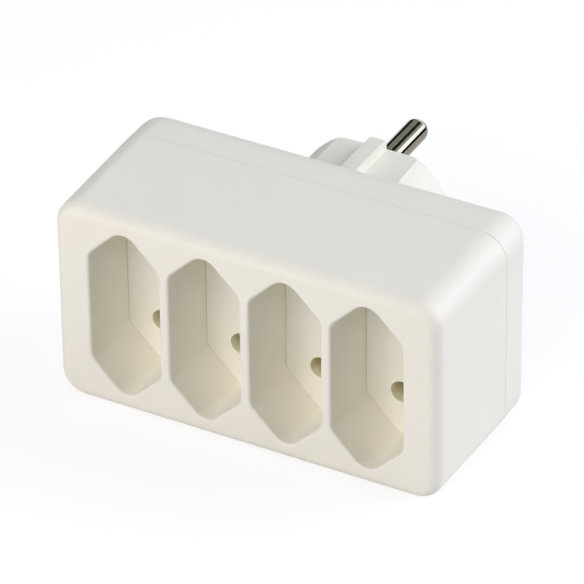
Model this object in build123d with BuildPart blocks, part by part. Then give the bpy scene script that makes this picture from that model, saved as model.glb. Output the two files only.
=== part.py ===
from build123d import *
import os

# Multi socket adapter: four flat-plug sockets in a plastic box with a round two-pin plug on its back.
# Millimetres, +Z up, +X along the row of sockets, +Y towards the wall socket.
# The origin is the centre of the plug's end face, half way between its two pins.
# A station is a distance from that face towards the front of the box, along -Y.

# Box
end_margin = 7.925
top_margin = 3.0
contact_space = 19.5
corner_radius = 5.7
wall = 2.0
housing_depth = 26.7
housing_draft = 1.2
front_edge_radius = 2.4
cover_draft = 0.5
rear_edge_ease = 0.7
seam_gap = 0.12
lip_height = 2.0
lip_clearance = 0.1

# Sockets
socket_count = 4
socket_width = 15.0
socket_land = 2.05
socket_side = 23.6
socket_tip_radius = 3.3
socket_side_radius = 1.5
socket_depth = 14.3
socket_draft = 0.5
socket_rim_radius = 0.6
socket_floor = 1.8
cup_wall = 1.5
cup_web = 5.0
contact_hole_diameter = 4.6
contact_hole_bevel = 0.3

# Plug body
plug_length = 16.7
plug_draft = 1.0
plug_end_radius = 1.0
plug_wall = 2.2
plug_face_wall = 2.6
guide_margin = 4.95
guide_depth = 2.35
guide_rib_width = 3.2
guide_edge_radius = 0.2
earth_notch_width = 8.0
earth_notch_depth = 2.8
pin_boss_diameter = 8.0

# Plug pins
pin_pitch = 19.0
pin_diameter = 4.8
pin_length = 17.5
pin_tip_radius = 2.2
pin_root_diameter = 5.4
pin_flange_diameter = 7.4
pin_tail_diameter = 3.0
pin_head_diameter = 4.6
pin_head_height = 0.7
bore_clearance = 0.05

# Bus bars, contact clips and rivets
bar_standoff = 0.9
bar_thickness = 0.8
bar_height = 5.2
bar_end_margin = 3.0
bar_corner_radius = 1.0
bar_offset = 4.7
lug_width = 8.0
lug_margin = 3.4
clip_thickness = 0.5
clip_width = 5.6
clip_base_gap = 4.4
clip_grip_gap = 3.4
clip_mouth_gap = 5.8
clip_mouth_length = 4.0
clip_mouth_clearance = 1.0
clip_grip_radius = 3.0
clip_bend_radius = 0.6
rivet_diameter = 2.0
rivet_head_diameter = 3.4
rivet_head_height = 0.5
rivet_head_bevel = 0.2

# Contact carrier
carrier_thickness = 4.2
carrier_end_margin = 4.4
carrier_corner_radius = 2.0
post_width = 3.0
post_height = 4.4
barrier_thickness = 1.5
barrier_clearance = 0.3

# Cover screws
boss_inset = 6.0
boss_diameter = 8.6
screw_diameter = 2.6
screw_length = 14.0
screw_tip_bevel = 0.5
screw_head_diameter = 5.0
screw_head_height = 1.9
screw_head_radius = 0.7
screw_recess_depth = 1.0
screw_recess_length = 3.0
screw_recess_width = 0.7
screw_hole_diameter = 3.2
head_clearance = 0.4
counterbore_depth = 4.0
pilot_spare = 2.0

# Overall sizes that follow from the sockets and the pins
socket_pitch = socket_width + socket_land
box_width = socket_pitch * (socket_count - 1) + socket_width + 2 * end_margin
box_height = socket_side + socket_width + 2 * top_margin
box_depth = socket_depth + socket_floor + contact_space + wall
rear_edge_radius = corner_radius - rear_edge_ease
plug_flats = pin_pitch + 2 * guide_margin
plug_diameter = plug_flats + 2 * guide_depth
earth_notch_span = plug_diameter - 2 * earth_notch_depth
carrier_width = socket_pitch * (socket_count - 1) + 2 * carrier_end_margin

# Stations, measured from the plug's end face towards the front
rear_face = plug_length
rear_inner = rear_face + wall
bar_rear = rear_inner + bar_standoff
bar_front = bar_rear + bar_thickness
front_face = rear_face + box_depth
front_inner = front_face - wall
seam = front_face - housing_depth
cover_rim = seam - seam_gap
socket_bottom = front_face - socket_depth
cup_back = socket_bottom - socket_floor
carrier_back = cup_back - carrier_thickness
screw_seat = rear_face + counterbore_depth
pilot_end = screw_seat + screw_length + pilot_spare

# Heights and places across the box
pin_z = pin_pitch / 2
bar_z = pin_z + bar_offset
carrier_height = 2 * bar_z + post_height
boss_x = box_width / 2 - boss_inset
boss_z = box_height / 2 - boss_inset
first_socket_x = -socket_pitch * (socket_count - 1) / 2


def facing_front(station):
    """Sketch plane at a station, with its normal towards the front."""
    return Plane.XZ.offset(station)


def facing_back(station):
    """Sketch plane at a station, with its normal towards the plug."""
    return Plane(origin=(0, -station, 0), x_dir=(1, 0, 0), z_dir=(0, 1, 0))


def box_outline(inset, mode=Mode.ADD):
    """Rounded rectangle of the box at the seam, drawn in by an inset."""
    width = box_width - 2 * inset
    height = box_height - 2 * inset
    return RectangleRounded(width, height, corner_radius - inset, mode=mode)


def socket_outline(margin):
    """Upright hexagon of a socket with 45 degree ends, grown by a margin on every side."""
    half_width = socket_width / 2
    half_side = socket_side / 2
    tip = half_side + half_width
    corners = [
        (0, tip),
        (-half_width, half_side),
        (-half_width, -half_side),
        (0, -tip),
        (half_width, -half_side),
        (half_width, half_side),
    ]
    with BuildSketch(mode=Mode.PRIVATE) as outline:
        with BuildLine():
            Polyline(*corners, close=True)
        make_face()
        tips = outline.vertices().group_by(Axis.Y)
        fillet(tips[0] + tips[-1], socket_tip_radius)
        sides = outline.vertices().group_by(Axis.X)
        fillet(sides[0] + sides[-1], socket_side_radius)
        if margin > 0:
            offset(amount=margin, mode=Mode.REPLACE)
    return outline.sketch


def contact_positions():
    """Both contact holes of every socket."""
    return GridLocations(socket_pitch, pin_pitch, socket_count, 2)


def rivet_positions():
    """One rivet above each upper contact and one below each lower contact."""
    return GridLocations(socket_pitch, 2 * bar_z, socket_count, 2)


def clamp_positions():
    """Between the last two sockets at each end of both bus bars."""
    return GridLocations(socket_pitch * (socket_count - 2), 2 * bar_z, 2, 2)


def screw_positions():
    """The four corners of the box."""
    return GridLocations(2 * boss_x, 2 * boss_z, 2, 2)


# Front housing: drafted box with four hexagonal wells and corner bosses
with BuildPart() as front_housing:
    with BuildSketch(facing_front(seam)):
        box_outline(0)
    extrude(amount=housing_depth, taper=housing_draft)
    fillet(front_housing.faces().sort_by(Axis.Y)[0].edges(), front_edge_radius)
    with BuildSketch(facing_front(seam)):
        box_outline(wall)
    extrude(amount=front_inner - seam, taper=housing_draft, mode=Mode.SUBTRACT)

    # Cups around the wells, with a web from each tip to the wall
    with BuildSketch(facing_front(cup_back)):
        with GridLocations(socket_pitch, 0, socket_count, 1):
            add(socket_outline(cup_wall))
            Rectangle(cup_web, box_height - 2 * wall)
    extrude(amount=front_inner - cup_back)

    # Corner bosses for the screws
    with BuildSketch(facing_front(seam)):
        with screw_positions():
            Circle(boss_diameter / 2)
    extrude(amount=front_inner - seam)

    # Wells, drafted towards the floor, with a softened rim
    with BuildSketch(facing_back(front_face)):
        with GridLocations(socket_pitch, 0, socket_count, 1):
            add(socket_outline(0))
    extrude(amount=socket_depth, taper=socket_draft, mode=Mode.SUBTRACT)
    rims = front_housing.faces().sort_by(Axis.Y)[0].inner_wires()
    fillet([edge for rim in rims for edge in rim.edges()], socket_rim_radius)

    # Contact holes through the floors, with a small lead-in
    with BuildSketch(facing_back(socket_bottom)):
        with contact_positions():
            Circle(contact_hole_diameter / 2)
    extrude(amount=socket_floor, mode=Mode.SUBTRACT)
    hole_ends = front_housing.edges(Select.LAST).filter_by(GeomType.CIRCLE).group_by(Axis.Y)
    chamfer(hole_ends[0], contact_hole_bevel)

    # Rebate for the cover's lip, and pilot holes for the screws
    with BuildSketch(facing_front(seam)):
        box_outline(wall / 2)
        box_outline(wall + lip_clearance, mode=Mode.SUBTRACT)
    extrude(amount=lip_height + lip_clearance, mode=Mode.SUBTRACT)
    with BuildSketch(facing_front(seam)):
        with screw_positions():
            Circle(screw_diameter / 2 + bore_clearance)
    extrude(amount=pilot_end - seam, mode=Mode.SUBTRACT)
front_housing.part.label = "front_housing"

# Rear cover: drafted tray with the round plug body moulded on its back
with BuildPart() as rear_cover:
    with BuildSketch(facing_back(cover_rim)):
        box_outline(0)
    extrude(amount=cover_rim - rear_face, taper=cover_draft)
    fillet(rear_cover.faces().sort_by(Axis.Y)[-1].edges(), rear_edge_radius)
    with BuildSketch(facing_back(cover_rim)):
        box_outline(wall)
    extrude(amount=cover_rim - rear_inner, taper=cover_draft, mode=Mode.SUBTRACT)
    tray_floor = rear_cover.faces().filter_by(Plane.XZ).sort_by(Axis.Y)[-2]
    fillet(tray_floor.edges(), rear_edge_radius - wall)

    # Plug body: a drafted round, rounded at its end
    with BuildSketch(facing_front(0)):
        Circle(plug_diameter / 2)
    extrude(amount=rear_inner, taper=-plug_draft)
    fillet(rear_cover.faces().sort_by(Axis.Y)[-1].edges(), plug_end_radius)

    # Guide channels beside the top and bottom ribs, and notches at the sides that clear earth clips
    with BuildSketch(facing_front(0)):
        Rectangle(plug_diameter * 2, plug_diameter * 2)
        Rectangle(plug_diameter * 2, plug_flats, mode=Mode.SUBTRACT)
        Rectangle(guide_rib_width, plug_diameter * 2, mode=Mode.SUBTRACT)
    extrude(amount=rear_face, mode=Mode.SUBTRACT)
    with BuildSketch(facing_front(0)):
        Rectangle(plug_diameter * 2, earth_notch_width)
        Rectangle(earth_notch_span, earth_notch_width, mode=Mode.SUBTRACT)
    extrude(amount=rear_face, mode=Mode.SUBTRACT)
    plug_creases = rear_cover.edges().filter_by(Axis.Y).filter_by_position(Axis.Y, -rear_face, 0)
    fillet(plug_creases, guide_edge_radius)

    # The plug is hollow, with a boss round each pin
    with BuildSketch(facing_front(plug_face_wall)):
        Circle(plug_diameter / 2 - plug_wall)
        Rectangle(earth_notch_span - 2 * plug_wall, plug_flats - 2 * plug_wall, mode=Mode.INTERSECT)
    extrude(amount=rear_inner - plug_face_wall, mode=Mode.SUBTRACT)
    with BuildSketch(facing_front(plug_face_wall)):
        with GridLocations(0, pin_pitch, 1, 2):
            Circle(pin_boss_diameter / 2)
    extrude(amount=rear_inner - plug_face_wall)
    with BuildSketch(facing_front(0)):
        with GridLocations(0, pin_pitch, 1, 2):
            Circle(pin_root_diameter / 2 + bore_clearance)
    extrude(amount=rear_inner, mode=Mode.SUBTRACT)

    # Lip that enters the front housing, and pads under the bus bars
    with BuildSketch(facing_front(cover_rim)):
        box_outline(wall / 2 + lip_clearance)
        box_outline(wall, mode=Mode.SUBTRACT)
    extrude(amount=seam_gap + lip_height)
    with BuildSketch(facing_front(rear_inner)):
        with clamp_positions():
            Rectangle(post_width, post_height)
    extrude(amount=bar_standoff)

    # Screw posts that meet the housing's bosses, with counterbores from the back
    with BuildSketch(facing_front(rear_inner)):
        with screw_positions():
            Circle(boss_diameter / 2)
    extrude(amount=seam - rear_inner)
    with BuildSketch(facing_front(rear_face)):
        with screw_positions():
            Circle(screw_hole_diameter / 2)
    extrude(amount=seam - rear_face, mode=Mode.SUBTRACT)
    with BuildSketch(facing_front(rear_face)):
        with screw_positions():
            Circle(screw_head_diameter / 2 + head_clearance)
    extrude(amount=counterbore_depth, mode=Mode.SUBTRACT)
rear_cover.part.label = "rear_cover"

# Contact carrier: a plate behind the wells that guides the pins, with posts that press the bus bars down
with BuildPart() as contact_carrier:
    with BuildSketch(facing_front(carrier_back)):
        RectangleRounded(carrier_width, carrier_height, carrier_corner_radius)
        with contact_positions():
            Circle(contact_hole_diameter / 2, mode=Mode.SUBTRACT)
    extrude(amount=carrier_thickness)
    with BuildSketch(facing_front(bar_front)):
        with clamp_positions():
            Rectangle(post_width, post_height)
    extrude(amount=carrier_back - bar_front)

    # Barrier between the upper and the lower contacts
    with BuildSketch(facing_front(rear_inner + barrier_clearance)):
        Rectangle(carrier_width, barrier_thickness)
    extrude(amount=carrier_back - rear_inner - barrier_clearance)
contact_carrier.part.label = "contact_carrier"


def plug_pin(side):
    """Turned pin with a domed tip, a flange inside the cover and a tail riveted over the bus bar."""
    axis_z = side * pin_z
    with BuildPart() as pin:
        with BuildSketch(Plane(origin=(0, 0, axis_z), x_dir=(0, 1, 0), z_dir=(1, 0, 0))) as section:
            with BuildLine():
                Polyline(
                    (pin_length, 0),
                    (pin_length, pin_diameter / 2),
                    (0, pin_diameter / 2),
                    (0, pin_root_diameter / 2),
                    (-rear_inner, pin_root_diameter / 2),
                    (-rear_inner, pin_flange_diameter / 2),
                    (-bar_rear, pin_flange_diameter / 2),
                    (-bar_rear, pin_tail_diameter / 2),
                    (-bar_front, pin_tail_diameter / 2),
                    (-bar_front, pin_head_diameter / 2),
                    (-bar_front - pin_head_height, pin_head_diameter / 2),
                    (-bar_front - pin_head_height, 0),
                    close=True,
                )
            make_face()
            tip = section.vertices().group_by(Axis.X)[-1].sort_by(Axis.Y)[-1]
            fillet(tip, pin_tip_radius)
        revolve(axis=Axis((0, 0, axis_z), (0, 1, 0)))
    return pin.part


def bus_bar(side):
    """Stamped strip with a rivet hole at each socket and a lug for the plug pin's tail."""
    bar_length = socket_pitch * (socket_count - 1) + 2 * bar_end_margin
    lug_end = pin_z - lug_margin
    with BuildPart() as bar:
        with BuildSketch(facing_front(bar_rear)) as blank:
            with Locations((0, side * bar_z)):
                Rectangle(bar_length, bar_height)
            with Locations((0, side * (lug_end + bar_z) / 2)):
                Rectangle(lug_width, bar_z - lug_end)
            corners = blank.vertices().group_by(Axis.X)
            fillet(corners[0] + corners[-1], bar_corner_radius)
            with Locations((0, side * pin_z)):
                Circle(pin_tail_diameter / 2 + bore_clearance, mode=Mode.SUBTRACT)
            with Locations((0, side * bar_z)):
                with GridLocations(socket_pitch, 0, socket_count, 1):
                    Circle(rivet_diameter / 2 + bore_clearance, mode=Mode.SUBTRACT)
        extrude(amount=bar_thickness)
    return bar.part


def contact_clip(x, side):
    """Bent spring clip: two tongues that grip a plug's pin, and a tab riveted to the bus bar."""
    mouth = carrier_back - clip_mouth_clearance
    grip = mouth - clip_mouth_length
    base = bar_front + clip_thickness
    tab_end = bar_z + bar_height / 2
    tongue = [(clip_mouth_gap / 2, -mouth), (clip_grip_gap / 2, -grip), (clip_base_gap / 2, -base)]
    mirrored = [(-across, along) for across, along in reversed(tongue)]
    bends = [clip_grip_radius, clip_bend_radius, clip_bend_radius, clip_grip_radius]
    with BuildPart() as clip:
        with BuildSketch(Plane(origin=(x, 0, side * pin_z - clip_width / 2))):
            with BuildLine():
                FilletPolyline(*tongue, *mirrored, radius=bends)
                offset(amount=clip_thickness, side=Side.RIGHT)
            make_face()
        extrude(amount=clip_width)
        with BuildSketch(facing_front(bar_front)):
            with Locations((x, side * (pin_z + tab_end) / 2)):
                Rectangle(clip_base_gap, tab_end - pin_z)
            with Locations((x, side * bar_z)):
                Circle(rivet_diameter / 2 + bore_clearance, mode=Mode.SUBTRACT)
        extrude(amount=clip_thickness)
    return clip.part


# Contact rivets: a head on the clip's tab, a shank through tab and bar, and a head behind the bar
with BuildPart() as contact_rivets:
    with BuildSketch(facing_front(bar_rear - rivet_head_height)):
        with rivet_positions():
            Circle(rivet_head_diameter / 2)
    extrude(amount=rivet_head_height)
    with BuildSketch(facing_front(bar_rear)):
        with rivet_positions():
            Circle(rivet_diameter / 2)
    extrude(amount=bar_thickness + clip_thickness)
    with BuildSketch(facing_front(bar_front + clip_thickness)):
        with rivet_positions():
            Circle(rivet_head_diameter / 2)
    extrude(amount=rivet_head_height)
    crowns = contact_rivets.edges().filter_by(GeomType.CIRCLE).group_by(Axis.Y)
    chamfer(crowns[0] + crowns[-1], rivet_head_bevel)
contact_rivets.part.label = "contact_rivets"

# Cover screws: round head with a cross recess, in the counterbores of the cover
with BuildPart() as cover_screws:
    with BuildSketch(facing_back(screw_seat)):
        with screw_positions():
            Circle(screw_head_diameter / 2)
    extrude(amount=screw_head_height)
    heads = cover_screws.edges().filter_by(GeomType.CIRCLE).group_by(Axis.Y)
    fillet(heads[-1], screw_head_radius)
    with BuildSketch(facing_back(screw_seat - screw_head_height + screw_recess_depth)):
        with screw_positions():
            Rectangle(screw_recess_length, screw_recess_width)
            Rectangle(screw_recess_width, screw_recess_length)
    extrude(amount=screw_recess_depth, mode=Mode.SUBTRACT)
    with BuildSketch(facing_front(screw_seat)):
        with screw_positions():
            Circle(screw_diameter / 2)
    extrude(amount=screw_length)
    tips = cover_screws.edges().filter_by(GeomType.CIRCLE).group_by(Axis.Y)
    chamfer(tips[0], screw_tip_bevel)
cover_screws.part.label = "cover_screws"

pieces = [front_housing.part, rear_cover.part, contact_carrier.part, contact_rivets.part, cover_screws.part]
for level, side in (("upper", 1), ("lower", -1)):
    pin = plug_pin(side)
    pin.label = f"plug_pin_{level}"
    bar = bus_bar(side)
    bar.label = f"bus_bar_{level}"
    pieces += [pin, bar]
    for number in range(socket_count):
        clip = contact_clip(first_socket_x + number * socket_pitch, side)
        clip.label = f"contact_{number + 1}_{level}"
        pieces.append(clip)

os.makedirs("parts", exist_ok=True)
for piece in pieces:
    export_step(piece, f"parts/{piece.label}.step")
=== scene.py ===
import math

import bmesh
import bpy
from mathutils import Matrix, Vector


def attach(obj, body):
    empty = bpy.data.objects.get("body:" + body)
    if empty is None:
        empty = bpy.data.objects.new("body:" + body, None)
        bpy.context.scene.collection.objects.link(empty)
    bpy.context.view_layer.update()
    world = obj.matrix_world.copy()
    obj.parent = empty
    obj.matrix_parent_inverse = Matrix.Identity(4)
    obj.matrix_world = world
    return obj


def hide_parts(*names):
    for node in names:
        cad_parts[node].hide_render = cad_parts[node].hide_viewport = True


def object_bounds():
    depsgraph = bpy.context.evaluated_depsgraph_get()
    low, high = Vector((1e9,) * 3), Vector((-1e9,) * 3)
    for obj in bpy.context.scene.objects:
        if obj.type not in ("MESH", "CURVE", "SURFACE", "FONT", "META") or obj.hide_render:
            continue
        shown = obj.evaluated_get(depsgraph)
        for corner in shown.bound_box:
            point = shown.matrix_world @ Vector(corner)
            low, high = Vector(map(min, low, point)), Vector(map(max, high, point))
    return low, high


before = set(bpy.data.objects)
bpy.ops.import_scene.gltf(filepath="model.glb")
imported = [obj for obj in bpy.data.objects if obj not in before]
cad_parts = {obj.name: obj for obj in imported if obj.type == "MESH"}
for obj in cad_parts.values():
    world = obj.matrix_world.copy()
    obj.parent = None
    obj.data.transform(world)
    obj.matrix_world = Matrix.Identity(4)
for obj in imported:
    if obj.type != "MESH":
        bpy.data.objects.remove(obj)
cad_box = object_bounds()
mm = 0.001


# Front housing: the large half of the box, with four hexagonal wells for flat plugs in its face.
# One injection moulding in warm white ABS with a satin, lightly spark-eroded skin.
# Its corner bosses take the screws that hold the rear cover.
def linear(hex_colour):
    """An sRGB hex colour as the linear RGBA that a socket takes."""
    shares = [int(hex_colour[i:i + 2], 16) / 255 for i in (1, 3, 5)]
    return [s / 12.92 if s <= 0.04045 else ((s + 0.055) / 1.055) ** 2.4 for s in shares] + [1.0]


def add(tree, kind, inputs=None, **settings):
    """Adds a node to a tree, sets its properties, and fills or links its inputs."""
    node = tree.nodes.new(kind)
    for name, value in settings.items():
        setattr(node, name, value)
    for name, value in (inputs or {}).items():
        if isinstance(value, bpy.types.NodeSocket):
            tree.links.new(value, node.inputs[name])
        else:
            node.inputs[name].default_value = value
    return node


def empty_material(name):
    """A new material with an empty node tree."""
    material = bpy.data.materials.new(name)
    material.use_nodes = True
    material.node_tree.nodes.clear()
    return material


def new_object(name, data):
    """A new object at the origin that holds the given data."""
    made = bpy.data.objects.new(name, data)
    bpy.context.scene.collection.objects.link(made)
    return made


def moulded_plastic(name, pale, deep, least_gloss, most_gloss):
    """Moulded plastic: faint clouds where the melt flowed, and the fine grain of a spark-eroded mould."""
    material = empty_material(name)
    tree = material.node_tree
    place = add(tree, "ShaderNodeTexCoord").outputs["Object"]
    cloud_size = 14 * mm
    clouds = add(tree, "ShaderNodeTexNoise", {"Vector": place, "Scale": 1 / cloud_size, "Detail": 2.0})
    colour = add(tree, "ShaderNodeValToRGB", {"Fac": clouds.outputs["Fac"]})
    deep_stop, pale_stop = colour.color_ramp.elements
    deep_stop.position, deep_stop.color = 0.3, linear(deep)
    pale_stop.position, pale_stop.color = 0.7, linear(pale)
    # The real grain is about 0.05 mm; it is drawn at 0.3 mm so that it shows.
    grain_size, grain_depth = 0.3 * mm, 0.01 * mm
    grain = add(tree, "ShaderNodeTexNoise", {"Vector": place, "Scale": 1 / grain_size, "Detail": 1.0})
    gloss = add(tree, "ShaderNodeMapRange", {
        "Value": grain.outputs["Fac"], "To Min": most_gloss, "To Max": least_gloss})
    bump = add(tree, "ShaderNodeBump", {
        "Height": grain.outputs["Fac"], "Strength": 0.15, "Distance": grain_depth})
    shader = add(tree, "ShaderNodeBsdfPrincipled", {
        "Base Color": colour.outputs["Color"],
        "Roughness": gloss.outputs["Result"],
        "Normal": bump.outputs["Normal"],
        "IOR": 1.54,
    })
    add(tree, "ShaderNodeOutputMaterial", {"Surface": shader.outputs["BSDF"]})
    return material


def smooth_copy(node, name, material, reshape=None, crease_degrees=20):
    """A merged copy of a CAD node whose flat faces shade flat and whose rounds run smoothly into them."""
    shape = bmesh.new()
    shape.from_mesh(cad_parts[node].data)
    flat = shape.faces.layers.int.new("flat")
    # Before the merge each CAD face is an island, and a plane where all its triangles face one way.
    one_way = math.radians(0.5)
    done = set()
    for first in shape.faces:
        if first in done:
            continue
        island, waiting = [], [first]
        done.add(first)
        while waiting:
            face = waiting.pop()
            island.append(face)
            for edge in face.edges:
                for beside in edge.link_faces:
                    if beside not in done:
                        done.add(beside)
                        waiting.append(beside)
        widest = max(island, key=lambda face: face.calc_area()).normal
        plane = all(face.normal.angle(widest, 0) < one_way for face in island)
        for face in island:
            face[flat] = plane
    same_spot = 0.001 * mm
    bmesh.ops.remove_doubles(shape, verts=shape.verts, dist=same_spot)
    if reshape:
        for vert in shape.verts:
            vert.co = reshape(vert.co)
        shape.normal_update()
    crease = math.radians(crease_degrees)
    areas = {face: face.calc_area() for face in shape.faces}
    normals = []
    for face in shape.faces:
        for corner in face.loops:
            if face[flat]:
                normals.append(face.normal.copy())
                continue
            near = [other for other in corner.vert.link_faces
                    if other.normal.angle(face.normal, math.pi) < crease]
            planes = [other for other in near if other[flat]]
            total = sum((other.normal * areas[other] for other in planes or near), Vector())
            normals.append(total.normalized() if total.length else face.normal.copy())
    mesh = bpy.data.meshes.new(name)
    shape.to_mesh(mesh)
    shape.free()
    mesh.attributes.remove(mesh.attributes["flat"])
    mesh.shade_smooth()
    mesh.normals_split_custom_set(normals)
    mesh.materials.clear()
    mesh.materials.append(material)
    return new_object(name, mesh)


# The wells as moulded: side corners rounder than in the CAD, tips that sharpen towards the floor,
# and contact holes with a crisp edge. Every flat wall stays where the CAD has it.
well_pitch, well_half_width, well_half_side = 17.05 * mm, 7.5 * mm, 11.8 * mm
mouth_y, floor_y = -54.3 * mm, -40.0 * mm
side_radius, rounder_side = 1.5 * mm, 3.0 * mm
tip_radius, sharper_tip = 3.3 * mm, 1.0 * mm
hole_height, hole_bevel_radius, hole_radius = 9.5 * mm, 2.6 * mm, 2.31 * mm
rim_radius, draft_room, slack = 0.6 * mm, 0.2 * mm, 0.05 * mm
corner_degrees, degrees_slack = 45, 1


def on_round(arm, radius):
    """Whether a spot, given from the centre of a round, lies on that round or on the rim in front of it."""
    return -slack < arm.length - radius + draft_room < rim_radius + draft_room + 2 * slack


def as_moulded(point):
    """A point of the housing, moved where it lies on a corner of a well or on the bevel of a contact hole."""
    x, y, z = point
    middle = (math.floor(x / well_pitch) + 0.5) * well_pitch
    if abs(middle) > 2 * well_pitch or not mouth_y - slack < y < floor_y + slack:
        return point
    spot = Vector((abs(x - middle), abs(z)))
    lean = math.tan(math.radians(corner_degrees / 2))
    arm = spot - Vector((well_half_width - side_radius, well_half_side - side_radius * lean))
    bearing = math.degrees(math.atan2(arm.y, arm.x))
    if on_round(arm, side_radius) and -degrees_slack < bearing < corner_degrees + degrees_slack:
        more = rounder_side - side_radius
        spot += more * (arm.normalized() - Vector((1, lean)))
    arm = spot - Vector((0, well_half_side + well_half_width - tip_radius * math.sqrt(2)))
    bearing = math.degrees(math.atan2(arm.y, arm.x))
    if on_round(arm, tip_radius) and bearing > corner_degrees - degrees_slack:
        more = (sharper_tip - tip_radius) * (y - mouth_y) / (floor_y - mouth_y)
        spot += more * (arm.normalized() - Vector((0, math.sqrt(2))))
    arm = spot - Vector((0, hole_height))
    if abs(y - floor_y) < slack and abs(arm.length - hole_bevel_radius) < slack:
        spot += arm.normalized() * (hole_radius - hole_bevel_radius)
    return Vector((middle + math.copysign(spot.x, x - middle), y, math.copysign(spot.y, z)))


white_abs = moulded_plastic("satin_white_abs", "#F1EFE1", "#EFECDE", 0.58, 0.48)
# Where the walls of each well meet its floor, a fine line of painted shadow darkens the colour and fades
# downwards.
# The walls of the contact holes are painted yellower than the faces, as painted light for what is caught
# between them.
tree = white_abs.node_tree
shader = tree.nodes["Principled BSDF"]
clean = shader.inputs["Base Color"].links[0].from_socket
place = add(tree, "ShaderNodeSeparateXYZ", {0: add(tree, "ShaderNodeTexCoord").outputs["Object"]}).outputs
line_width, floor_thickness, off_floor = 0.28 * mm, 1.8 * mm, 0.02 * mm
line_ends_z, line_full_z = -19 * mm, -1 * mm
row_half_length, row_half_height = 34 * mm, 20.5 * mm
zones = {}
for name, axis, middle, reach in (
        ("at_floor", "Y", floor_y - off_floor - line_width / 2, line_width / 2),
        ("in_hole", "Y", floor_y + off_floor + floor_thickness / 2, floor_thickness / 2),
        ("in_row", "X", 0.0, row_half_length),
        ("in_well", "Z", 0.0, row_half_height)):
    zones[name] = add(tree, "ShaderNodeMath", {
        0: place[axis], 1: middle, 2: reach}, operation="COMPARE").outputs[0]
high = add(tree, "ShaderNodeMapRange", {
    "Value": place["Z"], "From Min": line_ends_z, "From Max": line_full_z})
line = add(tree, "ShaderNodeMath", {
    0: zones["at_floor"], 1: high.outputs["Result"]}, operation="MULTIPLY")
inside = add(tree, "ShaderNodeMath", {0: zones["in_row"], 1: zones["in_well"]}, operation="MULTIPLY")
shaded = clean
for mark, shade in ((line.outputs[0], "#D4CFC0"), (zones["in_hole"], "#F1EDCC")):
    share = add(tree, "ShaderNodeMath", {0: mark, 1: inside.outputs[0]}, operation="MULTIPLY")
    shaded = add(tree, "ShaderNodeMixRGB", {
        "Fac": share.outputs[0], "Color1": shaded, "Color2": linear(shade)}).outputs["Color"]
tree.links.new(shaded, shader.inputs["Base Color"])
front = smooth_copy("front_housing", "front_shell", white_abs, reshape=as_moulded)
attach(front, "root")
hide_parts("front_housing")


# Contact carrier: a plate behind the socket floors that guides the plugs' pins into the contact clips.
# Moulded in natural nylon, straw-coloured and a little waxy, and dropped into the front housing.
# Its posts press the bus bars against the rear cover.
natural_nylon = moulded_plastic("natural_nylon", "#ECE7C2", "#E6E0B9", 0.55, 0.45)
carrier = smooth_copy("contact_carrier", "pin_guide_plate", natural_nylon)
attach(carrier, "root")
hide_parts("contact_carrier")


# Bus bars, contact clips and rivets: stamped spring brass inside the box, behind the contact holes.
# Rolled strip with a faint grain along its length, dulled by handling.
# The clips are riveted to the bars, and the bars to the tails of the plug pins.
spring_brass = empty_material("rolled_spring_brass")
tree = spring_brass.node_tree
place = add(tree, "ShaderNodeTexCoord").outputs["Object"]
stretched = add(tree, "ShaderNodeMapping", {"Vector": place, "Scale": (0.05, 1.0, 1.0)})
# Real roll lines are finer than 0.05 mm; they are drawn at 0.3 mm so that they show.
roll_line_width = 0.3 * mm
roll_lines = add(tree, "ShaderNodeTexNoise", {
    "Vector": stretched.outputs["Vector"], "Scale": 1 / roll_line_width})
tone = add(tree, "ShaderNodeValToRGB", {"Fac": roll_lines.outputs["Fac"]})
tone.color_ramp.elements[0].color = linear("#B8975A")
tone.color_ramp.elements[1].color = linear("#D2B578")
shader = add(tree, "ShaderNodeBsdfPrincipled", {
    "Base Color": tone.outputs["Color"],
    "Metallic": 1.0,
    "Roughness": 0.35,
})
add(tree, "ShaderNodeOutputMaterial", {"Surface": shader.outputs["BSDF"]})
for name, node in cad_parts.items():
    if name.startswith("bus_bar") or (name.startswith("contact_") and name != "contact_carrier"):
        node.data.materials.clear()
        node.data.materials.append(spring_brass)


# Plug pins: two turned brass pins with domed tips, nickel-plated to a mirror.
# Each is held by a flange inside the cover and riveted to its bus bar.
bright_nickel = empty_material("bright_nickel_plate")
tree = bright_nickel.node_tree
place = add(tree, "ShaderNodeTexCoord").outputs["Object"]
# Real turning marks are about 0.1 mm apart; they are drawn 0.785 mm apart so that they show.
# A wave texture of scale 1 repeats after a tenth of pi, 0.314 m.
unscaled_pitch, turning_pitch = 0.314, 0.785 * mm
marks = add(tree, "ShaderNodeTexWave", {
    "Vector": place, "Scale": unscaled_pitch / turning_pitch, "Distortion": 0.6}, bands_direction="Y")
shine = add(tree, "ShaderNodeMapRange", {"Value": marks.outputs["Fac"], "To Min": 0.03, "To Max": 0.05})
shader = add(tree, "ShaderNodeBsdfPrincipled", {
    "Base Color": linear("#C9C5BB"),
    "Metallic": 1.0,
    "Roughness": shine.outputs["Result"],
})
add(tree, "ShaderNodeOutputMaterial", {"Surface": shader.outputs["BSDF"]})
for level in ("upper", "lower"):
    pin = smooth_copy(f"plug_pin_{level}", f"round_pin_{level}", bright_nickel)
    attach(pin, "root")
    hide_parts(f"plug_pin_{level}")


# Rear cover: the shallow half of the box behind the parting line, with the round plug moulded on.
# The same ABS and finish as the front housing.
# Four screws in counterbored corners hold it on.
rear = smooth_copy("rear_cover", "rear_shell", white_abs)
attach(rear, "root")
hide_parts("rear_cover")


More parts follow.
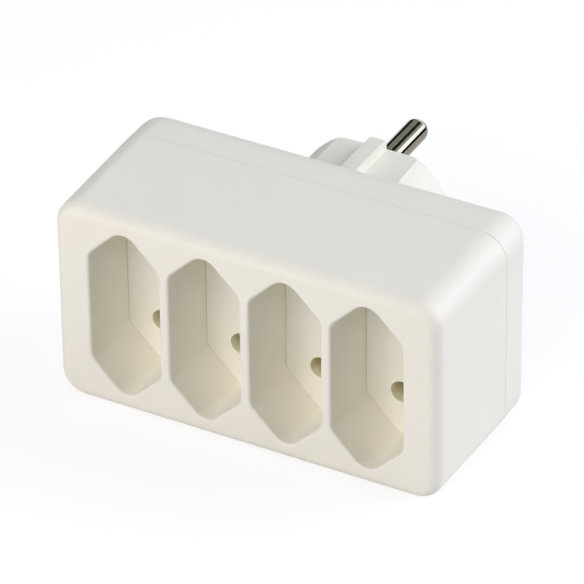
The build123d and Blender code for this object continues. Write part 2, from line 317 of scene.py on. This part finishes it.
# Cover screws: four zinc-plated self-tapping screws with cross recesses.
# Cold-headed steel wire, barrel-plated, so the zinc has a soft cloudy shine.
# They are sunk in the corners of the rear cover and bite into the front housing's bosses.
zinc_plate = empty_material("zinc_plated_steel")
tree = zinc_plate.node_tree
place = add(tree, "ShaderNodeTexCoord").outputs["Object"]
cloud_size = 0.8 * mm
clouds = add(tree, "ShaderNodeTexNoise", {"Vector": place, "Scale": 1 / cloud_size, "Detail": 3.0})
dull = add(tree, "ShaderNodeMapRange", {"Value": clouds.outputs["Fac"], "To Min": 0.25, "To Max": 0.42})
shader = add(tree, "ShaderNodeBsdfPrincipled", {
    "Base Color": linear("#B9BBBE"),
    "Metallic": 1.0,
    "Roughness": dull.outputs["Result"],
})
add(tree, "ShaderNodeOutputMaterial", {"Surface": shader.outputs["BSDF"]})

seat_y = -20.7 * mm
head_radius, head_height, crown_radius = 2.5 * mm, 1.9 * mm, 0.7 * mm
shank_radius, shank_length, tip_bevel = 1.3 * mm, 14.0 * mm, 0.5 * mm
recess_half, recess_half_width, recess_depth, recess_taper = 1.5 * mm, 0.35 * mm, 1.0 * mm, 0.6
# Half profile of a screw that points along -Y, with its seat at the origin, turned about its axis.
crown_steps = 6
crown = [(head_radius - crown_radius * (1 - math.cos(a)), head_height - crown_radius * (1 - math.sin(a)))
         for a in (math.pi / 2 * i / crown_steps for i in range(crown_steps + 1))]
profile = crown[::-1] + [
    (head_radius, 0), (shank_radius, 0), (shank_radius, tip_bevel - shank_length),
    (shank_radius - tip_bevel, -shank_length)]
turn_steps = 48
turns = [2 * math.pi * step / turn_steps for step in range(turn_steps)]
points = [(radius * math.cos(turn), along, radius * math.sin(turn))
          for radius, along in profile for turn in turns]
faces = []
for ring in range(len(profile) - 1):
    for step in range(turn_steps):
        here, there = ring * turn_steps + step, ring * turn_steps + (step + 1) % turn_steps
        faces.append((here, there, there + turn_steps, here + turn_steps))
faces.append(tuple(range(len(points) - turn_steps, len(points))))
# The cross recess narrows towards its bottom, as the punch leaves it, and opens in the flat of the head.
cross = []
for along_x, along_z in ((1, 0), (0, 1), (-1, 0), (0, -1)):
    for side in (-1, 1):
        cross.append((along_x * recess_half - side * along_z * recess_half_width,
                      along_z * recess_half + side * along_x * recess_half_width))
    cross.append(((along_x - along_z) * recess_half_width, (along_z + along_x) * recess_half_width))
top = range(len(points), len(points) + len(cross))
points += [(x, head_height, z) for x, z in cross]
bottom = range(len(points), len(points) + len(cross))
points += [(x * recess_taper, head_height - recess_depth, z * recess_taper) for x, z in cross]
faces += [(top[i - 1], bottom[i - 1], bottom[i], top[i]) for i in range(len(cross))]
faces.append(tuple(bottom))
before_axis = math.radians(1)


def heading(index):
    """A point's direction about the screw's axis, counted from just before the X axis."""
    x, _, z = points[index]
    return (math.atan2(z, x) + before_axis) % (2 * math.pi)


# The flat of the head runs between its round edge and the cross, one triangle at each point in turn.
flat_edge = range(turn_steps)
round_point, cross_point = max(flat_edge, key=heading), max(top, key=heading)
for index in sorted([*flat_edge, *top], key=heading):
    faces.append((round_point, cross_point, index))
    if index in top:
        cross_point = index
    else:
        round_point = index
screw_mesh = bpy.data.meshes.new("cover_screw")
screw_mesh.from_pydata(points, [], faces)
shape = bmesh.new()
shape.from_mesh(screw_mesh)
bmesh.ops.recalc_face_normals(shape, faces=shape.faces)
shape.to_mesh(screw_mesh)
shape.free()
screws = new_object("corner_screws", screw_mesh)

# The tree sets one screw at each corner of a rectangle behind the cover.
corner_tree = bpy.data.node_groups.new("screws_in_corners", "GeometryNodeTree")
panel = corner_tree.interface
panel.new_socket("Geometry", in_out="INPUT", socket_type="NodeSocketGeometry")
sizes = {"Pitch Across": 70.0 * mm, "Pitch Up": 32.6 * mm, "Seat": seat_y}
keys = {name: panel.new_socket(name, in_out="INPUT", socket_type="NodeSocketFloat").identifier
        for name in sizes}
material_key = panel.new_socket("Plating", in_out="INPUT", socket_type="NodeSocketMaterial").identifier
panel.new_socket("Geometry", in_out="OUTPUT", socket_type="NodeSocketGeometry")
given = add(corner_tree, "NodeGroupInput").outputs
corners = add(corner_tree, "GeometryNodeMeshGrid", {
    "Size X": given["Pitch Across"], "Size Y": given["Pitch Up"], "Vertices X": 2, "Vertices Y": 2})
behind = add(corner_tree, "ShaderNodeCombineXYZ", {"Y": given["Seat"]})
upright = add(corner_tree, "GeometryNodeTransform", {
    "Geometry": corners.outputs["Mesh"], "Translation": behind.outputs["Vector"],
    "Rotation": (math.pi / 2, 0, 0)})
set_out = add(corner_tree, "GeometryNodeInstanceOnPoints", {
    "Points": upright.outputs["Geometry"], "Instance": given["Geometry"]})
real = add(corner_tree, "GeometryNodeRealizeInstances", {"Geometry": set_out.outputs["Instances"]})
plated = add(corner_tree, "GeometryNodeSetMaterial", {
    "Geometry": real.outputs["Geometry"], "Material": given["Plating"]})
add(corner_tree, "NodeGroupOutput", {"Geometry": plated.outputs["Geometry"]})
pattern = screws.modifiers.new("corners", "NODES")
pattern.node_group = corner_tree
for name, key in keys.items():
    pattern[key] = sizes[name]
pattern[material_key] = zinc_plate
screws.data = bpy.data.meshes.new_from_object(screws.evaluated_get(bpy.context.evaluated_depsgraph_get()))
screws.modifiers.clear()
sharp_edge = math.radians(30)
screws.data.shade_smooth()
screws.data.set_sharp_from_angle(angle=sharp_edge)
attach(screws, "root")
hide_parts("cover_screws")


# Floor: a wide white sweep that the adapter rests on.
# It is white to the camera and to mirrors, and keeps a soft shadow near the box.
half = 3.0
low = cad_box[0][2]
centre = Vector((0, -35.5 * mm, 0))
floor_mesh = bpy.data.meshes.new("studio_floor")
floor_mesh.from_pydata([(-half, -half, low), (half, -half, low), (half, half, low), (-half, half, low)], [],
                       [(0, 1, 2, 3)])
floor = new_object("studio_floor", floor_mesh)
sweep = empty_material("white_paper_sweep")
tree = sweep.node_tree


def seen_directly(tree):
    """A mask that is 1 for camera, mirror and transmission rays."""
    rays = add(tree, "ShaderNodeLightPath").outputs
    seen = add(tree, "ShaderNodeMath", {
        0: rays["Is Camera Ray"], 1: rays["Is Glossy Ray"]}, operation="MAXIMUM")
    return add(tree, "ShaderNodeMath", {
        0: seen.outputs[0], 1: rays["Is Transmission Ray"]}, operation="MAXIMUM").outputs[0]


paper = add(tree, "ShaderNodeBsdfDiffuse", {"Color": linear("#E2E2E2")})
shadow = add(tree, "ShaderNodeBsdfDiffuse", {"Color": linear("#A0A0A0")})
spot = add(tree, "ShaderNodeTexCoord").outputs["Object"]
away = add(tree, "ShaderNodeVectorMath", {0: spot, 1: (centre.x, centre.y, low)}, operation="DISTANCE")
shadow_reach, white_from, glow_in_shadow = 0.15, 0.6, 0.73
fade = add(tree, "ShaderNodeMapRange", {
    "Value": away.outputs["Value"], "From Min": shadow_reach, "From Max": white_from,
    "To Min": glow_in_shadow, "To Max": 1.0})
glow = add(tree, "ShaderNodeEmission", {"Color": (1, 1, 1, 1), "Strength": fade.outputs["Result"]})
both = add(tree, "ShaderNodeAddShader", {0: shadow.outputs[0], 1: glow.outputs[0]})
mix = add(tree, "ShaderNodeMixShader", {0: seen_directly(tree), 1: paper.outputs[0], 2: both.outputs[0]})
add(tree, "ShaderNodeOutputMaterial", {"Surface": mix.outputs[0]})
floor_mesh.materials.append(sweep)


# Studio: a dim white room and six soft boxes, three neutral ones in front and three cooler ones behind.
# The room looks white to the camera and to mirrors, and lights the part only faintly.
scene = bpy.context.scene
scene.view_settings.view_transform = "Standard"
world = bpy.data.worlds.new("pale_studio")
world.use_nodes = True
tree = world.node_tree
tree.nodes.clear()
room = add(tree, "ShaderNodeBackground", {"Color": (1, 1, 1, 1), "Strength": 0.02})
white = add(tree, "ShaderNodeBackground", {"Color": (1, 1, 1, 1), "Strength": 1.0})
mix = add(tree, "ShaderNodeMixShader", {0: seen_directly(tree), 1: room.outputs[0], 2: white.outputs[0]})
add(tree, "ShaderNodeOutputWorld", {"Surface": mix.outputs[0]})
scene.world = world


def outward(turn, height):
    """The direction from the part to a place, turned from the front to the right and raised, in radians."""
    return Vector((math.sin(turn) * math.cos(height), -math.cos(turn) * math.cos(height), math.sin(height)))


def soft_lamp(name, turn, height, watts, colour, away=0.8):
    """A square soft box, three quarters as wide as it is away, that faces the part; angles in degrees."""
    lamp = bpy.data.lights.new(name, "AREA")
    lamp.shape = "SQUARE"
    lamp.size = 0.75 * away
    lamp.energy = watts
    lamp.color = linear(colour)[:3]
    holder = new_object(name, lamp)
    back = outward(math.radians(turn), math.radians(height))
    holder.location = centre + back * away
    holder.rotation_euler = back.to_track_quat("Z", "Y").to_euler()


neutral, cool, cooler = "#FFFAFA", "#F0F2FF", "#E6EEFF"
soft_lamp("front_left", -30, 25, 0.54, neutral, away=0.42)
soft_lamp("front_low", 0, 25, 1.44, neutral)
soft_lamp("front_high", 0, 42, 2.0, "#FDF9FF")
soft_lamp("right_rear", 120, 25, 5.3, cool)
soft_lamp("rear", 165, 45, 1.42, cooler)
soft_lamp("left_rear", 225, 50, 0.83, cooler)


# Cards: dark flags, grey cards and a lit strip behind the plug that only mirrors see; each glows in a painted
# shade that the lamps do not light.
# They stand on the ring of directions that the bright pins reflect, and on the floor below it.
pin_middle = Vector((0, 8 * mm, 9.5 * mm))
card_distance = 0.5
ring_inner, ring_outer = math.radians(28), math.radians(60)
ring_step = 5


def mirror_card(name, points, faces, shade, strength=1.0):
    """A card that shows only in reflections and glows in one shade, painted light in place of a lit matt
    card; a lit one glows brighter.
    """
    mesh = bpy.data.meshes.new(name)
    mesh.from_pydata(points, [], faces)
    material = empty_material(name + "_card")
    glow = add(material.node_tree, "ShaderNodeEmission", {"Color": linear(shade), "Strength": strength})
    add(material.node_tree, "ShaderNodeOutputMaterial", {"Surface": glow.outputs[0]})
    mesh.materials.append(material)
    card = new_object(name, mesh)
    card.visible_camera = False
    card.visible_diffuse = False
    card.visible_shadow = False
    card.visible_transmission = False


for name, first, last, shade, strength in (
        ("left_flag", 143, 225, "#26271F", 1.0),
        ("upper_left", 101, 142, "#8B9386", 1.0),
        ("top_flag", 65, 100, "#2A2E26", 1.0),
        ("dim", 54, 64, "#8C9087", 1.0),
        ("pale", 44, 54, "#C4C6BE", 1.0),
        ("strip_light", 12, 44, "#F6F9FF", 1.75),
        ("right_flag", -8, 11, "#1C1A14", 1.0)):
    count = max(2, round((last - first) / ring_step) + 1)
    turns = [math.radians(first + (last - first) * i / (count - 1)) for i in range(count)]
    points = [pin_middle + card_distance * Vector(
        (math.sin(tilt) * math.cos(turn), math.cos(tilt), math.sin(tilt) * math.sin(turn)))
        for turn in turns for tilt in (ring_inner, ring_outer)]
    faces = [(2 * i, 2 * i + 1, 2 * i + 3, 2 * i + 2) for i in range(count - 1)]
    mirror_card(name, points, faces, shade, strength)
left_end, right_end, above_floor = -60 * mm, 450 * mm, 0.2 * mm
for name, near, far, shade in (
        ("table", 25 * mm, 180 * mm, "#B8B6AF"),
        ("table_edge", 180 * mm, 450 * mm, "#1C1A14")):
    corners = [(left_end, near), (right_end, near), (right_end, far), (left_end, far)]
    mirror_card(name, [(x, y, low + above_floor) for x, y in corners], [(0, 1, 2, 3)], shade)


# Camera: a long lens above and to the right of the front, a little turned, as in the photograph.
# Its focal length and drop are in pixels of a square picture, and it looks at the middle of the box.
azimuth = math.radians(28.71)
elevation = math.radians(34.33)
roll = math.radians(-0.73)
distance = 977.3 * mm
image_width = 584
focal_pixels = 5196
drop_pixels = 10.25
back = outward(azimuth, elevation)
right = Vector((math.cos(azimuth), math.sin(azimuth), 0))
up = back.cross(right)
lens = bpy.data.cameras.new("camera")
lens.sensor_width = 36
lens.lens = focal_pixels / image_width * lens.sensor_width
lens.shift_y = drop_pixels / image_width
lens.clip_start = 0.01
lens.clip_end = 20
camera = new_object("camera", lens)
turned_right = math.cos(roll) * right + math.sin(roll) * up
turned_up = math.cos(roll) * up - math.sin(roll) * right
axes = Matrix((turned_right, turned_up, back)).transposed()
camera.matrix_world = Matrix.Translation(centre + back * distance) @ axes.to_4x4()
scene.camera = camera
